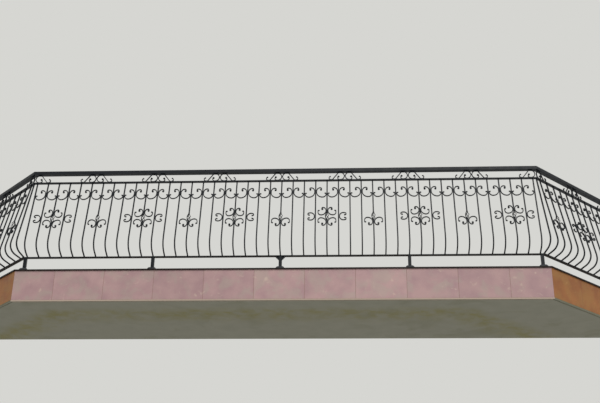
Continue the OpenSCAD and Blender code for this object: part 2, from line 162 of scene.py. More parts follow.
# Damp growth under the slab: how far out its front line is, where its side lines end at the back, and how
# far it fades out of and into the bay that they make
GROWTH_FRONT_Y = 885 * MM
GROWTH_LEFT = 3100 * MM
GROWTH_RIGHT = 2640 * MM
GROWTH_REACH = (230 * MM, 380 * MM)

# The lines of the slab and the railing, read from the CAD's parts
floor_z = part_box("deck")[1].z
slab_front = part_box("fascia_front")[0].y
slab_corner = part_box("fascia_front")[1].x
upper_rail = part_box("upper_rail_front")
lower_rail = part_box("bottom_rail_front")
hand_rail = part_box("handrail_front")
half_mitre = math.tan(math.radians(SIDE_ANGLE / 2))
rail_y = (upper_rail[0].y + upper_rail[1].y) / 2
rail_corner = upper_rail[1].x - (rail_y - upper_rail[0].y) * half_mitre
bar_top = upper_rail[0].z - floor_z
upper_top = upper_rail[1].z - floor_z
foot_top = lower_rail[1].z - floor_z
frieze_h = hand_rail[0].z - upper_rail[1].z
corner_gap = rail_corner - PITCH * FRONT_SPACES / 2
frieze_step = 2 * (rail_corner - FRIEZE_CORNER) / (FRONT_FRIEZES - 1)
arch_r = (frieze_h - SCROLL_W) / 2

# The baluster: where its belly is, and how far its straight top leans
belly_in = BELLY_OUT - BELLY_R + BELLY_R * math.sin(math.radians(FOOT_DEG))
belly_z = foot_top + BELLY_R * math.cos(math.radians(FOOT_DEG)) + belly_in * math.tan(math.radians(FOOT_DEG))
lean_rise = bar_top - belly_z
lean = math.degrees(
    math.asin(SHOULDER_R / math.hypot(lean_rise, SHOULDER_R - BELLY_OUT))
    - math.atan2(SHOULDER_R - BELLY_OUT, lean_rise)
)

# Runs of the railing: X along the rail from its corner, -Y out of the balcony, Z up from the floor
mirrored = Matrix.Scale(-1, 4, (1, 0, 0))
flipped = Matrix.Scale(-1, 4, (0, 1, 0))
front_run = Matrix.Translation((-rail_corner, rail_y, floor_z))
side_turn = Matrix.Rotation(math.radians(SIDE_ANGLE), 4, "Z")
side_out = Vector((math.sin(math.radians(SIDE_ANGLE)), -math.cos(math.radians(SIDE_ANGLE)), 0))
right_run = Matrix.Translation((rail_corner, rail_y, floor_z)) @ side_turn
RUNS = {"front": front_run, "right": right_run, "left": mirrored @ right_run}
bar_plane = Matrix.Translation((0, 0, bar_top)) @ Matrix.Rotation(math.radians(90 - lean), 4, "X")
frieze_plane = Matrix.Translation((0, 0, upper_top)) @ Matrix.Rotation(math.radians(90), 4, "X")

# Of each run: its first baluster from the corner, its spaces, and the baluster with its first motif
FIRST_BAR = {"front": corner_gap, "right": SIDE_GAP, "left": SIDE_GAP}
SPACES = {"front": FRONT_SPACES, "right": SIDE_SPACES, "left": SIDE_SPACES}
FIRST_MOTIF = {"front": 2, "right": 1, "left": 1}
FRIEZES = {"front": FRONT_FRIEZES, "right": SIDE_FRIEZES, "left": SIDE_FRIEZES}


# Modelling by hand


def only(piece):
    """Selects one piece and nothing else."""
    bpy.ops.object.select_all(action="DESELECT")
    piece.select_set(True)
    bpy.context.view_layer.objects.active = piece


def edit(piece):
    only(piece)
    bpy.ops.object.mode_set(mode="EDIT")
    bpy.ops.mesh.select_all(action="SELECT")


def leave():
    bpy.ops.object.mode_set(mode="OBJECT")


def pick(piece, wanted, kind="FACE"):
    """In edit mode, selects the faces or edges whose middle and normal or direction pass a test."""
    bpy.ops.mesh.select_mode(type=kind)
    bpy.ops.mesh.select_all(action="DESELECT")
    mesh = bmesh.from_edit_mesh(piece.data)
    if kind == "FACE":
        for face in mesh.faces:
            face.select_set(wanted(face.calc_center_median(), face.normal))
    else:
        for edge in mesh.edges:
            start, end = (vertex.co for vertex in edge.verts)
            edge.select_set(wanted((start + end) / 2, end - start))
    mesh.select_flush_mode()
    bmesh.update_edit_mesh(piece.data)


def outward(piece):
    """Merges doubles and turns every face outwards."""
    edit(piece)
    bpy.ops.mesh.remove_doubles(threshold=MERGE)
    bpy.ops.mesh.normals_make_consistent(inside=False)
    leave()


def settle(piece):
    """Puts the piece's place into its mesh, so that its object sits at the origin."""
    only(piece)
    bpy.ops.object.transform_apply(location=True, rotation=True, scale=True)


def applied(piece, kind, **settings):
    only(piece)
    modifier = piece.modifiers.new(kind.lower(), kind)
    for name, value in settings.items():
        setattr(modifier, name, value)
    bpy.ops.object.modifier_apply(modifier=modifier.name)


def rounded(piece, width, segments=2):
    applied(
        piece,
        "BEVEL",
        width=width,
        segments=segments,
        limit_method="ANGLE",
        angle_limit=math.radians(ROUND_DEG),
        use_clamp_overlap=False,
    )


def smoothed(piece, degrees=SMOOTH_DEG):
    only(piece)
    bpy.ops.object.shade_smooth_by_angle(angle=math.radians(degrees))


def evened(piece):
    """Smooths the rounded edges and keeps the large faces between them flat."""
    smoothed(piece, EVEN_DEG)
    applied(piece, "WEIGHTED_NORMAL", keep_sharp=True)


def block(name, low, high):
    """A box between two corners, as a start."""
    bpy.ops.object.select_all(action="DESELECT")
    middle = (Vector(low) + Vector(high)) / 2
    bpy.ops.mesh.primitive_cube_add(size=1, location=middle, scale=Vector(high) - Vector(low))
    piece = bpy.context.object
    piece.name = name
    settle(piece)
    return piece


def laid(model, matrix):
    """A copy of a modelled piece with its own mesh, laid in its place."""
    copy = model.copy()
    copy.data = model.data.copy()
    bpy.context.scene.collection.objects.link(copy)
    copy.data.transform(matrix)
    if matrix.determinant() < 0:
        copy.data.flip_normals()
    return copy


def joined(pieces, name):
    bpy.ops.object.select_all(action="DESELECT")
    for piece in pieces:
        piece.select_set(True)
    bpy.context.view_layer.objects.active = pieces[0]
    bpy.ops.object.join()
    piece = bpy.context.object
    piece.name = name
    piece.data.name = name
    return piece


def thrown_away(*pieces):
    for piece in pieces:
        bpy.data.objects.remove(piece)


def from_cad(node, name):
    """A copy of a CAD node's mesh, its doubles merged and its flat faces made whole."""
    piece = bpy.data.objects.new(name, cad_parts[node].data.copy())
    bpy.context.scene.collection.objects.link(piece)
    only(piece)
    bpy.ops.mesh.customdata_custom_splitnormals_clear()
    edit(piece)
    bpy.ops.mesh.remove_doubles(threshold=MERGE)
    bpy.ops.mesh.dissolve_degenerate(threshold=MERGE)
    bpy.ops.mesh.select_all(action="SELECT")
    bpy.ops.mesh.dissolve_limited(angle_limit=math.radians(FLAT_DEG))
    leave()
    return piece


def finished(piece, finish, node=None):
    """Gives a piece its finish and its body, and hides the CAD node that it stands for."""
    piece.data.materials.clear()
    piece.data.materials.append(finish)
    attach(piece, "root")
    if node:
        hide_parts(node)


def refined(node, name, edge, finish):
    """A CAD node with its edges rounded and its finish."""
    piece = from_cad(node, name)
    rounded(piece, edge)
    evened(piece)
    finished(piece, finish, node)


def cut_by(piece, point, normal):
    """Cuts away what lies beyond a plane and closes the cut."""
    edit(piece)
    bpy.ops.mesh.bisect(plane_co=point, plane_no=normal, use_fill=True, clear_outer=True)
    leave()


# Forging: a bar's section is pushed along straights and spun round bends


def sag_turn(radius):
    return math.degrees(2 * math.acos(1 - SAG / radius))


def short(move):
    """A move as straights and arcs of one radius. A move is (turn, length or first radius, last radius)."""
    turn, first, last = move
    if turn == 0:
        return [(0, first)]
    count = math.ceil(abs(turn) / sag_turn((first + last) / 2))
    return [(turn / count, first + (last - first) * (i + 0.5) / count) for i in range(count)]


def after(at, bit):
    """Where the path is after one short move, from (x, y, heading in degrees)."""
    x, y, heading = at
    turn, size = bit
    chord = 2 * size * math.sin(math.radians(abs(turn) / 2)) if turn else size
    way = math.radians(heading + turn / 2)
    return (x + chord * math.cos(way), y + chord * math.sin(way), heading + turn)


def ends(start, moves):
    """The short moves of a path and the point that they lead to."""
    bits = [bit for move in moves for bit in short(move)]
    at = start
    for bit in bits:
        at = after(at, bit)
    return bits, at


def bar_start(name, at, width, depth, edge):
    """A bar's section with its corners taken off, standing across the path."""
    bpy.ops.object.select_all(action="DESELECT")
    bpy.ops.mesh.primitive_plane_add(size=1)
    bar = bpy.context.object
    bar.name = name
    edit(bar)
    bpy.ops.transform.resize(value=(width, depth, 1))
    bpy.ops.mesh.bevel(affect="VERTICES", offset=edge, segments=1)
    leave()
    heading = math.radians(at[2])
    side = Vector((-math.sin(heading), math.cos(heading), 0))
    ahead = Vector((math.cos(heading), math.sin(heading), 0))
    up = Vector((0, 0, 1))
    turned = Matrix((side, up, ahead)).transposed().to_4x4()
    bar.matrix_world = Matrix.Translation((at[0], at[1], 0)) @ turned
    settle(bar)
    return bar


def forged(name, start, ahead, behind=(), width=SCROLL_W, depth=SCROLL_D, edge=SCROLL_EDGE):
    """A bar forged along a path that is drawn from one point ahead and behind, and both its ends."""
    tail_bits, tail = ends((start[0], start[1], start[2] + 180), behind)
    nose_bits, nose = ends(start, ahead)
    bits = [(-turn, size) for turn, size in reversed(tail_bits)] + nose_bits
    at = (tail[0], tail[1], tail[2] + 180)
    bar = bar_start(name, at, width, depth, edge)
    edit(bar)
    for bit in bits:
        turn, size = bit
        heading = math.radians(at[2])
        if turn == 0:
            bpy.ops.mesh.extrude_region_move(
                TRANSFORM_OT_translate={"value": (size * math.cos(heading), size * math.sin(heading), 0)}
            )
        else:
            side = math.copysign(size, turn)
            centre = (at[0] - side * math.sin(heading), at[1] + side * math.cos(heading), 0)
            steps = math.ceil(abs(turn) / SPIN_DEG)
            bpy.ops.mesh.spin(steps=steps, angle=math.radians(-turn), center=centre, axis=(0, 0, 1))
        at = after(at, bit)
    leave()
    outward(bar)
    return bar, tail, nose


def with_ball(bar, at, radius):
    """Swells the end of a bar into a forged ball."""
    bpy.ops.object.select_all(action="DESELECT")
    bpy.ops.mesh.primitive_uv_sphere_add(radius=radius, location=(at[0], at[1], 0), **BALL_FACES)
    ball = bpy.context.object
    settle(ball)
    applied(bar, "BOOLEAN", operation="UNION", solver="EXACT", object=ball)
    thrown_away(ball)


def weld_beads(name, at):
    """Beads of weld in the corner between two bars, at their front and back faces."""
    beads = []
    for z in (-SCROLL_D / 2, SCROLL_D / 2):
        bpy.ops.object.select_all(action="DESELECT")
        bpy.ops.mesh.primitive_uv_sphere_add(radius=0.5, location=(at[0], at[1], z), **BEAD_FACES)
        bead = bpy.context.object
        edit(bead)
        bpy.ops.transform.resize(value=BEAD, center_override=(at[0], at[1], z))
        leave()
        settle(bead)
        beads.append(bead)
    return joined(beads, name)


def scroll_rise(big_r, flat):
    """How high a scroll stands over its lowest point, between the middles of its bar."""
    neck = math.sin(math.radians(NECK_TURN))
    return big_r + flat + NECK_PART * big_r * neck + CROWN_PART * big_r * (1 - neck)


def scroll(name, big_r, small_r, flat, tip):
    """A scroll beside a bar at X = 0, with its large end at the bar and its lowest point at level 0."""
    start = (BAR / 2 + SCROLL_W / 2 + big_r, 0, 0)
    bar, tail, nose = forged(
        name,
        start,
        ahead=[
            (90, small_r, small_r),
            (0, tip, 0),
            (TIP_TURN, TIP_PART[0] * SCROLL_W, TIP_PART[1] * SCROLL_W),
        ],
        behind=[
            (-90, big_r, big_r),
            (0, flat, 0),
            (-NECK_TURN, NECK_PART * big_r, NECK_PART * big_r),
            (NECK_TURN - 90, CROWN_PART * big_r, CROWN_PART * big_r),
            (-EYE_TURN, EYE_PART[0] * big_r, EYE_PART[1] * big_r),
        ],
    )
    with_ball(bar, tail, BALL_R)
    with_ball(bar, nose, TIP_BALL_R)
    bar = joined([bar, weld_beads("weld", (BAR / 2, big_r + flat / 2))], name)
    smoothed(bar)
    return bar


def side_c(name):
    """A scroll like a letter C, with its back on the bar at X = 0."""
    half = [
        (0, SIDE_C_FLAT / 2, 0),
        (SIDE_C_TURN, SIDE_C_R, SIDE_C_R),
        (0, SIDE_C_ARM, 0),
        (180, SIDE_C_EYE[0], SIDE_C_EYE[1]),
    ]
    bar, tail, nose = forged(
        name,
        (BAR / 2 + SCROLL_W / 2, 0, -90),
        ahead=half,
        behind=[(-turn, first, last) for turn, first, last in half],
    )
    with_ball(bar, tail, TIP_BALL_R)
    with_ball(bar, nose, TIP_BALL_R)
    bar = joined([bar, weld_beads("weld", (BAR / 2, 0))], name)
    smoothed(bar)
    return bar


def frieze_scroll(name):
    """A frieze scroll: an arch from rail to rail that winds into a curl, and a stem down to a small curl."""
    rise = frieze_h - SCROLL_W - (CROWN_R + STEM_R) * (1 - math.cos(math.radians(STEM_DEG)))
    stem = rise / math.sin(math.radians(STEM_DEG))
    start = (FRIEZE_GAP / 2 + SCROLL_W / 2 + arch_r + FRIEZE_FLAT / 2, frieze_h - SCROLL_W / 2, 0)
    bar, tail, nose = forged(
        name,
        start,
        ahead=[
            (0, FRIEZE_FLAT / 2, 0),
            (-STEM_DEG, CROWN_R, CROWN_R),
            (0, stem, 0),
            (STEM_DEG, STEM_R, STEM_R),
            (0, FRIEZE_FLAT, 0),
            (STEM_TIP_TURN, STEM_TIP[0], STEM_TIP[1]),
        ],
        behind=[
            (0, FRIEZE_FLAT / 2, 0),
            (180, arch_r, arch_r),
            (0, FRIEZE_FLAT, 0),
            (ARCH_EYE_TURN, ARCH_EYE_PART[0] * arch_r, ARCH_EYE_PART[1] * arch_r),
        ],
    )
    with_ball(bar, tail, BALL_R)
    with_ball(bar, nose, TIP_BALL_R)
    smoothed(bar)
    return bar


def baluster(name):
    """A bellied baluster in the plane X = 0, cut level at the rails."""
    lean_rad = math.radians(lean)
    top = (0, bar_top, -90 - lean)
    shoulder_y = -(BELLY_OUT - SHOULDER_R * (1 - math.cos(lean_rad)))
    shoulder_z = belly_z + SHOULDER_R * math.sin(lean_rad)
    straight = math.hypot(shoulder_y, bar_top - shoulder_z)
    over = 2 * BAR
    bar, *_ = forged(
        name,
        top,
        ahead=[
            (0, straight, 0),
            (lean, SHOULDER_R, SHOULDER_R),
            (90 - FOOT_DEG, BELLY_R, BELLY_R),
            (0, belly_in / math.cos(math.radians(FOOT_DEG)) + over, 0),
        ],
        behind=[(0, over, 0)],
        width=BAR,
        depth=BAR,
        edge=BAR_EDGE,
    )
    for level, upwards in ((bar_top, 1), (foot_top, -1)):
        cut_by(bar, (0, level, 0), (0, upwards, 0))
    bar.data.transform(Matrix.Rotation(math.radians(90), 4, "Z") @ Matrix.Rotation(math.radians(90), 4, "X"))
    outward(bar)
    smoothed(bar)
    return bar


def basket(name):
    """A basket of four square rods that twist and bulge between two collars, with its axis along Y."""
    rod_diagonal = BAR / 2 / math.sqrt(2)
    rod_from_axis = rod_diagonal + COLLAR_T / 2

    def reach(i):
        swell = math.sin(math.pi * i / BASKET_STEPS) ** BASKET_POINT if 0 < i < BASKET_STEPS else 0
        return rod_from_axis + (BASKET_R - rod_diagonal - rod_from_axis) * swell

    bpy.ops.object.select_all(action="DESELECT")
    bpy.ops.mesh.primitive_plane_add(size=BAR / 2)
    rod = bpy.context.object
    rod.name = name
    edit(rod)
    bpy.ops.mesh.bevel(affect="VERTICES", offset=ROD_EDGE, segments=1)
    leave()
    rod.matrix_world = Matrix.Translation((rod_from_axis, 0, 0)) @ Matrix.Rotation(math.radians(45), 4, "Z")
    settle(rod)
    edit(rod)
    for i in range(BASKET_STEPS):
        way = math.radians(ROD_TWIST * i / BASKET_STEPS)
        out = reach(i + 1) - reach(i)
        bpy.ops.mesh.extrude_region_move(
            TRANSFORM_OT_translate={
                "value": (out * math.cos(way), out * math.sin(way), BASKET_LEN / BASKET_STEPS)
            }
        )
        bpy.ops.transform.rotate(
            value=math.radians(-ROD_TWIST / BASKET_STEPS), orient_axis="Z", center_override=(0, 0, 0)
        )
    leave()
    outward(rod)
    parts = [laid(rod, Matrix.Rotation(math.radians(360 * k / RODS + 45), 4, "Z")) for k in range(RODS)]
    thrown_away(rod)
    half = BAR / 2 + COLLAR_T
    for z in (0, BASKET_LEN - COLLAR_LEN):
        collar = block(name, (-half, -half, z), (half, half, z + COLLAR_LEN))
        rounded(collar, COLLAR_EDGE)
        parts.append(collar)
    whole = joined(parts, name)
    whole.data.transform(
        Matrix.Rotation(math.radians(-90), 4, "X") @ Matrix.Translation((0, 0, -BASKET_LEN / 2))
    )
    smoothed(whole)
    return whole


# Finishes


def colour(code):
    """An sRGB hex colour as the linear colour that a socket takes."""
    parts = [int(code[i : i + 2], 16) / 255 for i in (1, 3, 5)]
    linear = [c / 12.92 if c <= 0.04045 else ((c + 0.055) / 1.055) ** 2.4 for c in parts]
    return (*linear, 1.0)


def add(tree, kind, setup=(), values=(), links=()):
    """Adds a node: its own settings, its sockets' values and what is joined to its sockets."""
    node = tree.nodes.new(kind)
    for name, value in dict(setup).items():
        setattr(node, name, value)
    for socket, value in dict(values).items():
        node.inputs[socket].default_value = value
    for socket, source in dict(links).items():
        tree.links.new(source, node.inputs[socket])
    return node


# A colour Mix node's sockets: the share of the second colour, both colours and the result
SHARE, FIRST, SECOND, MIXED = 0, 6, 7, 2


def material(name):
    """An empty material and its node tree."""
    made = bpy.data.materials.new(name)
    made.use_nodes = True
    made.node_tree.nodes.clear()
    return made, made.node_tree


def per_metre(size):
    """The scale that makes a pattern's features about that size, in millimetres."""
    return 1 / (size * MM)


def iron_paint(name, deep, pale):
    """Graphite enamel brushed on steel: satin and nearly black, with soft hammer marks, and where it lies
    level
    a little dust with a painted sky sheen: the faces that look up are painted paler."""
    made, tree = material(name)
    place = add(tree, "ShaderNodeTexCoord").outputs["Object"]
    clouds = add(
        tree, "ShaderNodeTexNoise", values={"Scale": per_metre(60), "Detail": 4.0}, links={"Vector": place}
    )
    marks = add(
        tree, "ShaderNodeTexNoise", values={"Scale": per_metre(7), "Detail": 2.0}, links={"Vector": place}
    )
    paint = add(
        tree,
        "ShaderNodeMix",
        {"data_type": "RGBA"},
        {FIRST: colour(deep), SECOND: colour(pale)},
        {SHARE: clouds.outputs["Fac"]},
    )
    # paler where it faces up: a little dust, and a painted sheen of the sky above
    normal = add(tree, "ShaderNodeNewGeometry").outputs["Normal"]
    facing = add(tree, "ShaderNodeSeparateXYZ", links={0: normal})
    upward = add(
        tree,
        "ShaderNodeMapRange",
        values={"From Min": 0.55, "From Max": 1.0, "To Max": 0.5},
        links={"Value": facing.outputs["Z"]},
    )
    dust_and_sheen = add(
        tree,
        "ShaderNodeMath",
        {"operation": "MULTIPLY"},
        links={0: upward.outputs[0], 1: clouds.outputs["Fac"]},
    )
    dusty_and_sheened = add(
        tree,
        "ShaderNodeMix",
        {"data_type": "RGBA"},
        {SECOND: colour("#55544f")},
        {SHARE: dust_and_sheen.outputs[0], FIRST: paint.outputs[MIXED]},
    )
    gloss = add(
        tree,
        "ShaderNodeMapRange",
        values={"From Min": 0.3, "From Max": 0.7, "To Min": 0.38, "To Max": 0.52},
        links={"Value": clouds.outputs["Fac"]},
    )
    bump = add(
        tree,
        "ShaderNodeBump",
        values={"Strength": 0.35, "Distance": 0.4 * MM},
        links={"Height": marks.outputs["Fac"]},
    )
    shader = add(
        tree,
        "ShaderNodeBsdfPrincipled",
        values={"IOR": 1.45, "Specular IOR Level": 0.25},
        links={
            "Base Color": dusty_and_sheened.outputs[MIXED],
            "Roughness": gloss.outputs[0],
            "Normal": bump.outputs["Normal"],
        },
    )
    add(tree, "ShaderNodeOutputMaterial", links={"Surface": shader.outputs[0]})
    return made


def tile_finish(name, pale, deep, patch, lime, rough=0.5):
    """Matt ceramic tile: each a little lighter or darker, with its own clouds and patches, fine specks, and a
    few pale marks of lime that rain has left."""
    made, tree = material(name)
    place = add(tree, "ShaderNodeTexCoord").outputs["Object"]
    tone = add(tree, "ShaderNodeAttribute", {"attribute_name": TILE_TONE})
    clouds, blotch = (
        add(
            tree,
            "ShaderNodeTexNoise",
            {"noise_dimensions": "4D"},
            {"Scale": per_metre(size), "Detail": detail, "Distortion": distortion},
            {"Vector": place, "W": tone.outputs["Fac"]},
        )
        for size, detail, distortion in ((160, 5.0, 0.0), (140, 3.0, 0.6))
    )
    by_tile = add(
        tree,
        "ShaderNodeMath",
        {"operation": "MULTIPLY_ADD"},
        {1: 0.16},
        {0: tone.outputs["Fac"], 2: blotch.outputs["Fac"]},
    )
    specks = add(
        tree, "ShaderNodeTexNoise", values={"Scale": per_metre(3), "Detail": 2.0}, links={"Vector": place}
    )
    cloudy = add(
        tree,
        "ShaderNodeMapRange",
        values={"From Min": 0.35, "From Max": 0.65},
        links={"Value": clouds.outputs["Fac"]},
    )
    marks = add(
        tree,
        "ShaderNodeTexNoise",
        values={"Scale": per_metre(62), "Detail": 3.0, "Distortion": 0.5},
        links={"Vector": place},
    )
    ground = add(
        tree,
        "ShaderNodeMix",
        {"data_type": "RGBA"},
        {FIRST: colour(deep), SECOND: colour(pale)},
        {SHARE: cloudy.outputs[0]},
    )
    # patches of another colour, then the marks of lime: where each starts, is at its most, and how much
    for pattern, start, most, share, tint in (
        (by_tile.outputs[0], 0.54, 0.74, 0.48, patch),
        (marks.outputs["Fac"], 0.63, 0.78, 0.5, lime),
    ):
        covered = add(
            tree,
            "ShaderNodeMapRange",
            {"interpolation_type": "SMOOTHSTEP"},
            {"From Min": start, "From Max": most, "To Max": share},
            {"Value": pattern},
        )
        ground = add(
            tree,
            "ShaderNodeMix",
            {"data_type": "RGBA"},
            {SECOND: colour(tint)},
            {SHARE: covered.outputs[0], FIRST: ground.outputs[MIXED]},
        )
    shade = add(
        tree,
        "ShaderNodeMapRange",
        values={"To Min": 0.93, "To Max": 1.06},
        links={"Value": tone.outputs["Fac"]},
    )
    grain = add(
        tree,
        "ShaderNodeMapRange",
        values={"From Min": 0.3, "From Max": 0.7, "To Min": 0.96, "To Max": 1.03},
        links={"Value": specks.outputs["Fac"]},
    )
    light = add(
        tree, "ShaderNodeMath", {"operation": "MULTIPLY"}, links={0: shade.outputs[0], 1: grain.outputs[0]}
    )
    final = add(
        tree,
        "ShaderNodeVectorMath",
        {"operation": "SCALE"},
        links={0: ground.outputs[MIXED], "Scale": light.outputs[0]},
    )
    gloss = add(
        tree,
        "ShaderNodeMapRange",
        values={"From Min": 0.3, "From Max": 0.7, "To Min": rough - 0.08, "To Max": rough + 0.1},
        links={"Value": clouds.outputs["Fac"]},
    )
    bump = add(
        tree,
        "ShaderNodeBump",
        values={"Strength": 0.25, "Distance": 0.3 * MM},
        links={"Height": specks.outputs["Fac"]},
    )
    shader = add(
        tree,
        "ShaderNodeBsdfPrincipled",
        values={"IOR": 1.5, "Specular IOR Level": 0.3},
        links={
            "Base Color": final.outputs[0],
            "Roughness": gloss.outputs[0],
            "Normal": bump.outputs["Normal"],
        },
    )
    add(tree, "ShaderNodeOutputMaterial", links={"Surface": shader.outputs[0]})
    return made


def damp_growth(tree, place, under):
    """Green algae in soft patches, thickest along three lines under the slab and fading both ways."""
    point = add(tree, "ShaderNodeSeparateXYZ", links={0: place})
    patches = add(
        tree,
        "ShaderNodeTexNoise",
        values={"Scale": per_metre(110), "Detail": 6.0, "Distortion": 0.3},
        links={"Vector": place},
    )
    before = add(
        tree, "ShaderNodeMath", {"operation": "SUBTRACT"}, {0: -GROWTH_FRONT_Y}, {1: point.outputs["Y"]}
    )
    nearest = before.outputs[0]
    for operation, reach in (("ADD", GROWTH_LEFT), ("SUBTRACT", GROWTH_RIGHT)):
        across = add(
            tree,
            "ShaderNodeMath",
            {"operation": operation},
            links={0: point.outputs["Y"], 1: point.outputs["X"]},
        )
        beside = add(
            tree,
            "ShaderNodeMath",
            {"operation": "MULTIPLY_ADD"},
            {1: -math.sqrt(0.5), 2: -reach * math.sqrt(0.5)},
            {0: across.outputs[0]},
        )
        further = add(
            tree, "ShaderNodeMath", {"operation": "MAXIMUM"}, links={0: nearest, 1: beside.outputs[0]}
        )
        nearest = further.outputs[0]
    outside, inside = (
        add(
            tree, "ShaderNodeMapRange", {"interpolation_type": "SMOOTHSTEP"}, spread, {"Value": nearest}
        )
        for spread in (
            {"From Min": 0.0, "From Max": GROWTH_REACH[0], "To Min": 1.0, "To Max": 0.0},
            {"From Min": -GROWTH_REACH[1], "From Max": 0.0},
        )
    )
    uneven = add(
        tree,
        "ShaderNodeMapRange",
        values={"From Min": 0.38, "From Max": 0.66, "To Min": 0.14, "To Max": 0.72},
        links={"Value": patches.outputs["Fac"]},
    )
    band = add(
        tree, "ShaderNodeMath", {"operation": "MULTIPLY"}, links={0: outside.outputs[0], 1: inside.outputs[0]}
    )
    grown = add(
        tree, "ShaderNodeMath", {"operation": "MULTIPLY"}, links={0: band.outputs[0], 1: uneven.outputs[0]}
    )
    return add(
        tree,
        "ShaderNodeMix",
        {"data_type": "RGBA"},
        {SECOND: colour("#797243")},
        {SHARE: grown.outputs[0], FIRST: under.outputs[MIXED]},
    )


def mineral(name, pale, deep, stain, grain_mm, cloud_mm, depth_mm, stain_mm=180, stained=0.6, painted_highlight=None):
    """Plaster, grout or concrete: a sandy surface with soft clouds and stains. Plaster under a slab also has
    damp growth, edges that are darker where they don't face down, and a painted highlight on the street side:
    the edge that faces the street is painted pale, as if the light from the front fell on it."""
    made, tree = material(name)
    place = add(tree, "ShaderNodeTexCoord").outputs["Object"]
    clouds, grain = (
        add(
            tree,
            "ShaderNodeTexNoise",
            values={"Scale": per_metre(size), "Detail": detail},
            links={"Vector": place},
        )
        for size, detail in ((cloud_mm, 6.0), (grain_mm, 3.0))
    )
    damp = add(
        tree,
        "ShaderNodeTexNoise",
        values={"Scale": per_metre(stain_mm), "Detail": 5.0, "Distortion": 0.8},
        links={"Vector": place},
    )
    ground = add(
        tree,
        "ShaderNodeMix",
        {"data_type": "RGBA"},
        {FIRST: colour(deep), SECOND: colour(pale)},
        {SHARE: clouds.outputs["Fac"]},
    )
    where = add(
        tree,
        "ShaderNodeMapRange",
        {"interpolation_type": "SMOOTHSTEP"},
        {"From Min": 0.5, "From Max": 0.72, "To Max": stained},
        {"Value": damp.outputs["Fac"]},
    )
    stained_ground = add(
        tree,
        "ShaderNodeMix",
        {"data_type": "RGBA"},
        {SECOND: colour(stain)},
        {SHARE: where.outputs[0], FIRST: ground.outputs[MIXED]},
    )
    if painted_highlight:
        stained_ground = damp_growth(tree, place, stained_ground)
        normal = add(tree, "ShaderNodeNewGeometry").outputs["True Normal"]
        facing = add(tree, "ShaderNodeSeparateXYZ", links={0: normal})
        # darker where it doesn't face down, and a painted highlight where it faces the street: painted pale,
        # as if lit from the front
        for axis, spread, tint in (
            ("Z", {"From Min": -0.9, "From Max": -0.3, "To Max": 0.8}, stain),
            ("Y", {"From Min": -0.95, "From Max": -0.75, "To Min": 0.85, "To Max": 0.0}, painted_highlight),
        ):
            share = add(tree, "ShaderNodeMapRange", values=spread, links={"Value": facing.outputs[axis]})
            stained_ground = add(
                tree,
                "ShaderNodeMix",
                {"data_type": "RGBA"},
                {SECOND: colour(tint)},
                {SHARE: share.outputs[0], FIRST: stained_ground.outputs[MIXED]},
            )
    height = add(
        tree,
        "ShaderNodeMath",
        {"operation": "MULTIPLY_ADD"},
        {1: 3.0},
        {0: clouds.outputs["Fac"], 2: grain.outputs["Fac"]},
    )
    bump = add(
        tree,
        "ShaderNodeBump",
        values={"Strength": 0.5, "Distance": depth_mm * MM},
        links={"Height": height.outputs[0]},
    )
    shader = add(
        tree,
        "ShaderNodeBsdfPrincipled",
        values={"Roughness": 0.9, "IOR": 1.45, "Specular IOR Level": 0.3},
        links={"Base Color": stained_ground.outputs[MIXED], "Normal": bump.outputs["Normal"]},
    )
    add(tree, "ShaderNodeOutputMaterial", links={"Surface": shader.outputs[0]})
    return made


def coated_metal():
    """Polyester-coated sheet steel, dark brown: an even low sheen with fine orange peel and dusty streaks."""
    made, tree = material("brown_coated_sheet_steel")
    place = add(tree, "ShaderNodeTexCoord").outputs["Object"]
    streaks = add(
        tree, "ShaderNodeTexNoise", values={"Scale": per_metre(90), "Detail": 5.0}, links={"Vector": place}
    )
    peel = add(
        tree, "ShaderNodeTexNoise", values={"Scale": per_metre(2.5), "Detail": 1.0}, links={"Vector": place}
    )
    coat = add(
        tree,
        "ShaderNodeMix",
        {"data_type": "RGBA"},
        {FIRST: colour("#16100e"), SECOND: colour("#251b18")},
        {SHARE: streaks.outputs["Fac"]},
    )
    bump = add(
        tree,
        "ShaderNodeBump",
        values={"Strength": 0.2, "Distance": 0.1 * MM},
        links={"Height": peel.outputs["Fac"]},
    )
    shader = add(
        tree,
        "ShaderNodeBsdfPrincipled",
        values={"Roughness": 0.45, "IOR": 1.45, "Specular IOR Level": 0.15},
        links={"Base Color": coat.outputs[MIXED], "Normal": bump.outputs["Normal"]},
    )
    add(tree, "ShaderNodeOutputMaterial", links={"Surface": shader.outputs[0]})
    return made


# Graphite enamel, nearly black on the railing, and paler on the covers at the floor: greyed by dust and by a
# painted sheen of the sky
IRON = iron_paint("graphite_enamel_on_forged_iron", deep="#0f1216", pale="#1b2026")
FOOT_PAINT_AND_SHEEN = iron_paint("dusty_graphite_enamel_with_painted_sheen_on_pressed_steel", deep="#2b2e31", pale="#3f4245")

# Pressed ceramic tiles, all matt: pinkish beige in front, terracotta at the sides, brown beige on the floor
FRONT_TILE = tile_finish(
    "pinkish_matt_facing_tile", pale="#b59492", deep="#a58486", patch="#a99b90", lime="#cdb8a6"
)
SIDE_TILE = tile_finish(
    "terracotta_matt_facing_tile", pale="#9e683b", deep="#865028", patch="#98703c", lime="#b08456"
)
FLOOR_FINISH = tile_finish(
    "matt_floor_tile", pale="#a8927f", deep="#947c6b", patch="#9c8d7a", lime="#ab9986", rough=0.55
)

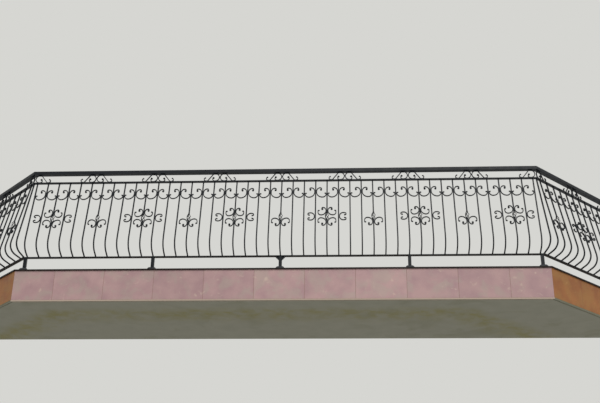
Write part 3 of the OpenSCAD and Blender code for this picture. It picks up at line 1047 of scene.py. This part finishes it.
# Cement: fine brown grout, floated plaster with the sand still felt in it, and coarser cast concrete
GROUT = mineral(
    "cement_grout", pale="#8f7160", deep="#7b6152", stain="#6a5446", grain_mm=2, cloud_mm=40, depth_mm=0.4
)
PLASTER = mineral(
    "floated_cement_plaster",
    pale="#8b887a",
    deep="#7d7b6d",
    stain="#6f6d57",
    grain_mm=3,
    cloud_mm=160,
    depth_mm=0.6,
    stain_mm=320,
    stained=0.35,
    # the edge that faces the street is painted pale: a painted highlight of the light from the front
    painted_highlight="#bda798",
)
CONCRETE = mineral(
    "cast_concrete", pale="#9a978e", deep="#85827a", stain="#75736a", grain_mm=4, cloud_mm=160, depth_mm=0.8
)
COATED = coated_metal()


# The forged railing


def bars_from(side, i, plane=Matrix(), level=0):
    """The place of a side's baluster i, or of a point at that level on the leaning plane of the bars."""
    first = Matrix.Translation((FIRST_BAR[side] + i * PITCH, 0, 0))
    return RUNS[side] @ first @ plane @ Matrix.Translation((0, level, 0))


def motif_bars(side):
    return range(FIRST_MOTIF[side], SPACES[side] - 1, MOTIF_STEP)


def balusters():
    """The balusters, bay by bay. In a motif the bar stops at the basket's ends."""
    whole = baluster("baluster")
    middle = Vector((0, -(bar_top - MOTIF_Z) * math.tan(math.radians(lean)), MOTIF_Z))
    up_the_bar = Vector((0, math.sin(math.radians(lean)), math.cos(math.radians(lean))))
    pieces = []
    for way in (1, -1):
        part = laid(whole, Matrix())
        cut_by(part, middle + way * up_the_bar * BASKET_LEN / 2, -way * up_the_bar)
        pieces.append(part)
    cut = joined(pieces, "cut_baluster")
    outward(cut)
    smoothed(cut)

    def row(side, first, last):
        return [
            laid(cut if i in motif_bars(side) else whole, bars_from(side, i)) for i in range(first, last + 1)
        ]

    for bay in range(FRONT_SPACES // BAY_SPACES):
        first = bay * BAY_SPACES
        last = first + BAY_SPACES - 1
        if last == FRONT_SPACES - 1:
            last = FRONT_SPACES
        name = f"balusters_front_{bay + 1}"
        finished(joined(row("front", first, last), f"forged_{name}"), IRON, name)
    for side in ("left", "right"):
        at_corner = laid(whole, RUNS[side] @ Matrix.Rotation(math.radians(-SIDE_ANGLE / 2), 4, "Z"))
        piece = joined([at_corner] + row(side, 0, SIDE_SPACES), f"forged_balusters_{side}")
        finished(piece, IRON, f"balusters_{side}")
    thrown_away(whole, cut)


def scroll_rows():
    """The row under the upper rail: a scroll in each space, in pairs back to back on every second bar."""
    big_r = PITCH - BAR - SCROLL_W - ROW_SMALL_R
    level = -ROW_GAP - SCROLL_W / 2 - scroll_rise(big_r, ROW_FLAT)
    model = scroll("row_scroll", big_r, ROW_SMALL_R, ROW_FLAT, ROW_TIP)
    for side in RUNS:
        row = []
        for i in range(1, SPACES[side], 2):
            place = bars_from(side, i, bar_plane, level)
            row += [laid(model, place), laid(model, place @ mirrored)]
        finished(joined(row, f"forged_scroll_row_{side}"), IRON, f"scroll_row_{side}")
    thrown_away(model)


def motifs():
    """Rosettes of four scrolls and two letters C, and fleurs of two scrolls, by turns, with their baskets."""
    level = -(bar_top - MOTIF_Z) / math.cos(math.radians(lean))
    quarter = scroll("motif_scroll", MOTIF_BIG_R, MOTIF_SMALL_R, MOTIF_FLAT, MOTIF_TIP)
    quarter.data.transform(flipped @ Matrix.Translation((0, MOTIF_GAP / 2 + SCROLL_W / 2, 0)))
    quarter.data.flip_normals()
    letter_c = side_c("side_scroll")
    twisted = basket("twisted_basket")
    for side in RUNS:
        rosettes = []
        fleurs = []
        baskets = []
        for number, i in enumerate(motif_bars(side)):
            place = bars_from(side, i, bar_plane, level)
            pair = [laid(quarter, place), laid(quarter, place @ mirrored)]
            baskets.append(laid(twisted, place))
            if (number % 2 == 0) == (side == "front"):
                rosettes += pair
                rosettes += [laid(quarter, place @ flipped), laid(quarter, place @ flipped @ mirrored)]
                for turn in (Matrix(), mirrored):
                    rosettes.append(laid(letter_c, place @ turn @ Matrix.Translation((PITCH, 0, 0))))
            else:
                fleurs += pair
        for kind, row in (("rosettes", rosettes), ("fleurs", fleurs)):
            finished(joined(row, f"forged_{kind}_{side}"), IRON, f"{kind}_{side}")
        finished(joined(baskets, f"twisted_baskets_{side}"), IRON, f"baskets_{side}")
    thrown_away(quarter, letter_c, twisted)


def friezes():
    """Pairs of frieze scrolls, welded back to back. The pair at a corner has one of them on each run."""
    model = frieze_scroll("frieze_scroll")
    weld = weld_beads("frieze_weld", (0, frieze_h / 2))
    smoothed(weld)
    for side, run in RUNS.items():
        row = []
        for i in range(FRIEZES[side]):
            place = run @ Matrix.Translation((FRIEZE_CORNER + i * frieze_step, 0, 0)) @ frieze_plane
            after_corner = i > 0
            before_corner = side != "front" or i < FRIEZES[side] - 1
            if before_corner:
                row.append(laid(model, place))
            if after_corner:
                row.append(laid(model, place @ mirrored))
            if before_corner and after_corner:
                row.append(laid(weld, place))
        finished(joined(row, f"forged_frieze_{side}"), IRON, f"frieze_{side}")
    thrown_away(model, weld)


def rails():
    """The rails, welded and ground at their mitres, so that only their long edges are rounded."""
    for side, run in RUNS.items():
        along = run.to_3x3() @ Vector((1, 0, 0))
        for kind in ("handrail", "upper_rail", "bottom_rail"):
            node = f"{kind}_{side}"
            piece = from_cad(node, f"painted_{node}")
            if kind != "handrail":
                edit(piece)
                pick(piece, lambda middle, way: abs(way.normalized().dot(along)) > ALIGNED, "EDGE")
                bpy.ops.mesh.bevel(offset=RAIL_EDGE, segments=2, affect="EDGES")
                leave()
            evened(piece)
            finished(piece, IRON, node)


def foot_cover(name):
    """A pressed steel cover that has slid down a leg over its base plate and its bolts."""
    bpy.ops.object.select_all(action="DESELECT")
    bpy.ops.mesh.primitive_plane_add(size=COVER[0][0])
    cover = bpy.context.object
    cover.name = name
    edit(cover)
    for (width, low), (next_width, high) in zip(COVER, COVER[1:]):
        bpy.ops.mesh.extrude_region_move(TRANSFORM_OT_translate={"value": (0, 0, high - low)})
        part = next_width / width
        bpy.ops.transform.resize(value=(part, part, 1), center_override=(0, 0, high))
    pick(cover, lambda middle, normal: abs(normal.z) > ALIGNED)
    bpy.ops.mesh.delete(type="ONLY_FACE")
    leave()
    outward(cover)
    rounded(cover, COVER_EDGE, 3)
    applied(cover, "SOLIDIFY", thickness=COVER_T, offset=-1)
    smoothed(cover)
    return cover


def legs():
    model = foot_cover("foot_cover")
    for name in ("corner_left", "front_left", "front_middle", "front_right", "corner_right"):
        node = f"leg_{name}"
        refined(node, f"painted_{node}", LEG_EDGE, IRON)
        low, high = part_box(node)
        cover = laid(model, Matrix.Translation(((low.x + high.x) / 2, (low.y + high.y) / 2, floor_z)))
        cover.name = f"cover_{node}"
        # the covers' paint is paler: dust, and a painted sheen of the sky
        finished(cover, FOOT_PAINT_AND_SHEEN)
    thrown_away(model)


def straps():
    for side in ("left", "right"):
        node = f"wall_strap_{side}"
        refined(node, f"painted_{node}", STRAP_EDGE, IRON)


# The slab's finishes


def toned(tile, value):
    """Gives every face of a tile the number that its shade and its clouds follow."""
    tone = tile.data.attributes.new(TILE_TONE, "FLOAT", "FACE")
    tone.data.foreach_set("value", [value] * len(tile.data.polygons))
    return tile


def facing(side):
    """The row of tiles on one side of the slab's edge, over their bed."""
    node = f"fascia_{side}"
    low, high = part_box(node)
    gap = TILE_JOINT / 2
    tile = block("facing_tile", (gap, TILE_BACK, low.z), (FACE_TILE - gap, TILE_T, high.z))
    rounded(tile, TILE_EDGE)
    corner = Vector((slab_corner, slab_front, 0))
    along_mitre = math.radians(SIDE_ANGLE / 2)
    mitre = Vector((math.cos(along_mitre), math.sin(along_mitre), 0))
    if side == "front":
        # a whole tile in the middle and a cut one at each corner
        run = Matrix.Translation((-FACE_TILE / 2, slab_front, 0))
        each_way = math.ceil((slab_corner - FACE_TILE / 2) / FACE_TILE)
        places = range(-each_way, each_way + 1)
        out = Vector((0, -1, 0))
    else:
        run = Matrix.Translation(corner) @ side_turn
        places = range(math.ceil(-slab_front / math.sin(math.radians(SIDE_ANGLE)) / FACE_TILE))
        out = side_out
    chance = random.Random(f"facing {side}")
    tiles = []
    for i in places:
        proud = chance.uniform(0, TILE_PROUD)
        place = run @ Matrix.Translation((i * FACE_TILE, proud, 0))
        tiles.append(toned(laid(tile, place), chance.random()))
    thrown_away(tile)
    row = joined(tiles, f"facing_tiles_{side}")
    bed = from_cad("fascia_front" if side == "front" else "fascia_right", f"tile_bed_{side}")
    edit(bed)
    pick(bed, lambda middle, normal: normal.dot(out) > ALIGNED)
    bpy.ops.transform.translate(value=-JOINT_DEPTH * out)
    leave()
    if side == "front":
        for turn in (Matrix(), mirrored):
            cut_by(row, turn @ (corner - mitre * gap), turn @ mitre)
    else:
        cut_by(row, corner + mitre * gap, -mitre)
        cut_by(row, (0, -TILE_BACK, 0), (0, 1, 0))
        cut_by(bed, (0, 0, 0), (0, 1, 0))
    if side == "left":
        for piece in (row, bed):
            piece.data.transform(mirrored)
            piece.data.flip_normals()
    evened(row)
    finished(row, FRONT_TILE if side == "front" else SIDE_TILE, node)
    finished(bed, GROUT)


def floor():
    """The floor tiles, cut along the drip edge, over their bed."""
    low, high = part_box("deck")
    gap = TILE_JOINT / 2
    tile = block("floor_tile", (gap, gap, high.z - TILE_T), (FLOOR_TILE - gap, FLOOR_TILE - gap, high.z))
    rounded(tile, TILE_EDGE)
    chance = random.Random("floor")
    columns = math.ceil(high.x / FLOOR_TILE)
    tiles = []
    for i in range(-columns, columns):
        for j in range(math.ceil(-low.y / FLOOR_TILE)):
            sunk = chance.uniform(0, TILE_SUNK)
            place = Matrix.Translation((i * FLOOR_TILE, low.y + j * FLOOR_TILE, -sunk))
            tiles.append(toned(laid(tile, place), chance.random()))
    thrown_away(tile)
    field = joined(tiles, "floor_tiles")
    corner = Vector((high.x, 0, 0))
    for turn in (Matrix(), mirrored):
        cut_by(field, turn @ (corner - side_out * gap), turn @ side_out)
    cut_by(field, (0, -TILE_BACK, 0), (0, 1, 0))
    evened(field)
    finished(field, FLOOR_FINISH, "deck")
    bed = from_cad("deck", "floor_bed")
    edit(bed)
    pick(bed, lambda middle, normal: normal.z > ALIGNED and middle.z > high.z - MERGE)
    bpy.ops.transform.translate(value=(0, 0, -JOINT_DEPTH))
    leave()
    finished(bed, GROUT)


def soffit():
    """The plaster under the slab."""
    refined("soffit", "plastered_soffit", PLASTER_EDGE, PLASTER)


def drip_edges():
    """The folded sheet along the top of the facing tiles."""
    for side in RUNS:
        node = f"drip_edge_{side}"
        refined(node, f"folded_{node}", SHEET_EDGE, COATED)


def core():
    """The concrete, whose shape stays the CAD's."""
    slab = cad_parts["slab"]
    slab.data.materials.clear()
    slab.data.materials.append(CONCRETE)


balusters()
scroll_rows()
motifs()
friezes()
rails()
legs()
straps()
for side in RUNS:
    facing(side)
floor()
soffit()
drip_edges()
core()


# Camera, light and floor

# The camera's place in metres, from the middle of the slab's lower front edge, and its turns in degrees
CAMERA_FROM = (0.650, -8.440, -2.848)
CAMERA_YAW = -3.14
CAMERA_PITCH = 24.54
CAMERA_ROLL = 0.73
FOCAL_PX = 951.0
PHOTO_W = 600
SENSOR = 36.0

# The floor lies far below, out of the way of views from below. Of each lamp: place, width, watts and tint
STUDIO_FLOOR_Z = -9
STUDIO_FLOOR_W = 1200
LAMP_AIM = (0, -0.8, 0.5)
LAMPS = {
    "overcast_front": ((4, -15, 11), 9, 1400, (1.0, 0.98, 0.95)),
    "overcast_side": ((12, -9, 7), 7, 120, (0.95, 0.97, 1.0)),
}


def camera():
    yaw, pitch, roll = (math.radians(a) for a in (CAMERA_YAW, CAMERA_PITCH, CAMERA_ROLL))
    ahead = Vector((math.sin(yaw) * math.cos(pitch), math.cos(yaw) * math.cos(pitch), math.sin(pitch)))
    level = Vector((math.cos(yaw), -math.sin(yaw), 0))
    above = level.cross(ahead)
    right = level * math.cos(roll) + above * math.sin(roll)
    up = above * math.cos(roll) - level * math.sin(roll)
    data = bpy.data.cameras.new("camera")
    data.sensor_width = SENSOR
    data.lens = FOCAL_PX / PHOTO_W * SENSOR
    made = bpy.data.objects.new("camera", data)
    bpy.context.scene.collection.objects.link(made)
    at = Vector((0, slab_front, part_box("soffit")[0].z)) + Vector(CAMERA_FROM)
    made.matrix_world = Matrix.Translation(at) @ Matrix((right, up, -ahead)).transposed().to_4x4()
    bpy.context.scene.camera = made


def soft_lamp(name, at, width, watts, tint):
    data = bpy.data.lights.new(name, "AREA")
    data.shape = "SQUARE"
    data.size = width
    data.energy = watts
    data.color = tint
    lamp = bpy.data.objects.new(name, data)
    bpy.context.scene.collection.objects.link(lamp)
    lamp.location = at
    lamp.rotation_euler = (Vector(LAMP_AIM) - Vector(at)).to_track_quat("-Z", "Y").to_euler()


def shown_pale(tree, lit, backdrop):
    """Shows the pale backdrop to the camera and in reflections, and lights with the sky."""
    path = add(tree, "ShaderNodeLightPath")
    seen = path.outputs["Is Camera Ray"]
    for kind in ("Is Glossy Ray", "Is Transmission Ray"):
        either = add(
            tree, "ShaderNodeMath", {"operation": "MAXIMUM"}, links={0: seen, 1: path.outputs[kind]}
        )
        seen = either.outputs[0]
    return add(tree, "ShaderNodeMixShader", links={0: seen, 1: lit.outputs[0], 2: backdrop.outputs[0]})


def studio():
    world = bpy.data.worlds.new("overcast")
    bpy.context.scene.world = world
    world.use_nodes = True
    tree = world.node_tree
    tree.nodes.clear()
    sky = add(tree, "ShaderNodeBackground", values={"Color": colour("#e8eaec"), "Strength": 0.74})
    pale = add(tree, "ShaderNodeBackground", values={"Color": colour("#d6d6d2")})
    add(tree, "ShaderNodeOutputWorld", links={"Surface": shown_pale(tree, sky, pale).outputs[0]})

    bpy.ops.object.select_all(action="DESELECT")
    bpy.ops.mesh.primitive_plane_add(size=STUDIO_FLOOR_W, location=(0, 0, STUDIO_FLOOR_Z))
    ground = bpy.context.object
    ground.name = "studio_floor"
    made, tree = material("pale_studio_floor")
    lit = add(tree, "ShaderNodeBsdfDiffuse", values={"Color": colour("#eeeeea")})
    add(tree, "ShaderNodeOutputMaterial", links={"Surface": lit.outputs[0]})
    ground.data.materials.append(made)

    for name, (at, width, watts, tint) in LAMPS.items():
        soft_lamp(name, at, width, watts, tint)


camera()
studio()
bpy.context.scene.view_settings.view_transform = "Standard"
